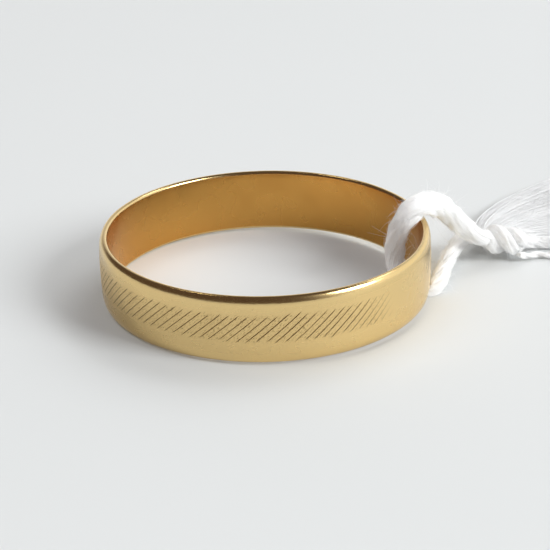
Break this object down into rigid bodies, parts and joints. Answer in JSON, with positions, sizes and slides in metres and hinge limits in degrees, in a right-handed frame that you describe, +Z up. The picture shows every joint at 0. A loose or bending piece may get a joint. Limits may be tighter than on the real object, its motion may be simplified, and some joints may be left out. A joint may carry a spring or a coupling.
{
  "type": "wedding band",
  "caption": "Narrow gold wedding band with a hatched, part-worn outer face, resting on a flattened soft cotton string tied round its wall.",
  "frame": {"origin": "on the table, under the middle of the band", "axes": "+Z up, +X towards the side where the string is tied, which it lifts; the band's own axis leans one degree from +Z towards -X"},
  "size_m": [0.035, 0.0312, 0.0057],
  "materials": {
    "gold": "worn satin yellow gold, hatched by a graver, polished on the edges",
    "cotton": "soft undyed white cotton yarn, loosely twisted"
  },
  "bodies": {
    "string": {"string_loop": "cotton", "string_knot": "cotton", "string_long_end": "cotton", "string_loose_yarn": "cotton", "string_frayed_end": "cotton"},
    "band": {"band": "gold"}
  },
  "joints": [
    {"name": "band_turn", "type": "hinge", "parent": "string", "child": "band", "pos_m": [0, 0, 0.00217], "axis": [-0.018, 0, 0.9998], "continuous": true}
  ]
}
